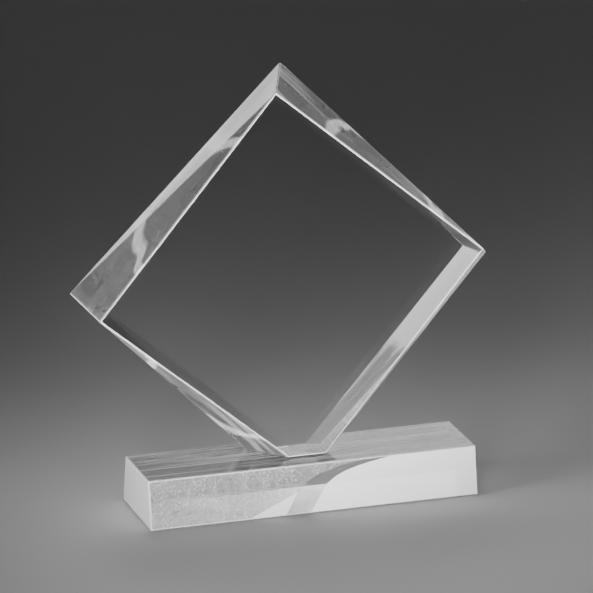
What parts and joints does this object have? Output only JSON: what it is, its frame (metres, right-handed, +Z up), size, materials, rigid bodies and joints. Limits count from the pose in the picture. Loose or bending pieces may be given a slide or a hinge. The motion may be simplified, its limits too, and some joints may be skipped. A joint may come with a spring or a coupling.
{
  "type": "crystal award",
  "caption": "Free-standing clear award: a thick square plate on its corner, with tapering facets round its edge, bonded to a long clear base block.",
  "frame": {"origin": "centre of the base block's underside, on the surface that the award stands on", "axes": "+Z up, +X along the base to the viewer's right, +Y from the plate's large front face to its back"},
  "size_m": [0.2214, 0.0488, 0.2282],
  "materials": {
    "clear_plate": "clear cast acrylic, polished faces and finely machined, polished edges",
    "clear_base": "clear cast acrylic, polished, with faint polishing haze",
    "clear_bond": "cured clear adhesive"
  },
  "bodies": {
    "root": {"diamond_plate": "clear_plate", "base_block": "clear_base", "bond_film": "clear_bond"}
  },
  "joints": []
}
